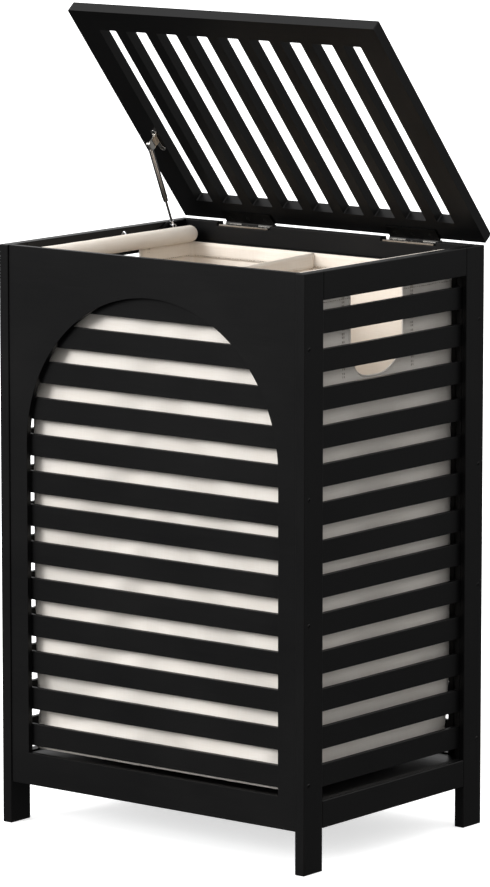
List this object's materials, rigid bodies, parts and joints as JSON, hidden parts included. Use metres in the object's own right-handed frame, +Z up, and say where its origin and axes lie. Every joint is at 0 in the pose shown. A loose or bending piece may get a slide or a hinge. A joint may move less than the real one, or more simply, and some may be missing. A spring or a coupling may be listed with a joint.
{
  "type": "laundry hamper with lid",
  "caption": "Slatted laundry hamper cabinet on legs with an arched front, a slotted hinged lid held by a stay, and a divided fabric liner.",
  "frame": {"origin": "on the floor, under the middle of the whole outline with the lid open at rest", "axes": "+X to the right, +Y to the back, +Z up; the arched front faces -Y"},
  "size_m": [0.45, 0.3576, 0.964],
  "materials": {
    "satin_black_paint": "satin black paint on board",
    "nickel_plate": "bright nickel plate",
    "black_steel": "black coated steel",
    "beech": "bare turned beech",
    "canvas": "off-white canvas, sewn"
  },
  "bodies": {
    "cabinet": {"front_left_leg": "satin_black_paint", "back_left_leg": "satin_black_paint", "front_right_leg": "satin_black_paint", "back_right_leg": "satin_black_paint", "left_top_rail": "satin_black_paint", "left_bottom_rail": "satin_black_paint", "right_top_rail": "satin_black_paint", "right_bottom_rail": "satin_black_paint", "back_top_rail": "satin_black_paint", "back_bottom_rail": "satin_black_paint", "left_slat_board": "satin_black_paint", "right_slat_board": "satin_black_paint", "back_slat_board": "satin_black_paint", "back_left_stile": "satin_black_paint", "back_right_stile": "satin_black_paint", "bottom_board": "satin_black_paint", "front_arch_board": "satin_black_paint", "front_slat_01": "satin_black_paint", "front_slat_02": "satin_black_paint", "front_slat_03": "satin_black_paint", "front_slat_04": "satin_black_paint", "front_slat_05": "satin_black_paint", "front_slat_06": "satin_black_paint", "front_slat_07": "satin_black_paint", "front_slat_08": "satin_black_paint", "front_slat_09": "satin_black_paint", "front_slat_10": "satin_black_paint", "front_slat_11": "satin_black_paint", "front_slat_12": "satin_black_paint", "front_slat_13": "satin_black_paint", "left_hinge_body_leaf": "nickel_plate", "left_hinge_pin": "nickel_plate", "right_hinge_body_leaf": "nickel_plate", "right_hinge_pin": "nickel_plate", "front_left_hook": "nickel_plate", "back_left_hook": "nickel_plate", "front_right_hook": "nickel_plate", "back_right_hook": "nickel_plate", "stay_body_bracket": "black_steel", "left_dowel": "beech", "right_dowel": "beech", "liner_bag": "canvas", "liner_divider": "canvas"},
    "lid": {"lid_board": "satin_black_paint", "left_hinge_lid_leaf": "black_steel", "right_hinge_lid_leaf": "black_steel", "stay_lid_bracket": "nickel_plate"},
    "stay_rod_end": {"stay_lower_eye": "nickel_plate", "stay_rod": "nickel_plate"},
    "stay_tube_end": {"stay_tube": "nickel_plate", "stay_upper_eye": "nickel_plate"}
  },
  "joints": [
    {"name": "lid_hinge", "type": "hinge", "parent": "cabinet", "child": "lid", "pos_m": [0, 0.16834, 0.6877], "axis": [1, 0, 0], "range_deg": [0, 50]},
    {"name": "stay_swing", "type": "hinge", "parent": "cabinet", "child": "stay_rod_end", "pos_m": [-0.2062, 0.12124, 0.6848], "axis": [1, 0, 0], "range_deg": [0, 68.7]},
    {"name": "stay_slide", "type": "slide", "parent": "stay_rod_end", "child": "stay_tube_end", "axis": [0, -0.3993, 0.9168], "range_m": [-0.0236, 0]}
  ],
  "couplings": [
    {"joint": "stay_swing", "follows": "lid_hinge", "ratio": 1.3736},
    {"joint": "stay_slide", "follows": "lid_hinge", "m_per_rad": -0.026998}
  ]
}
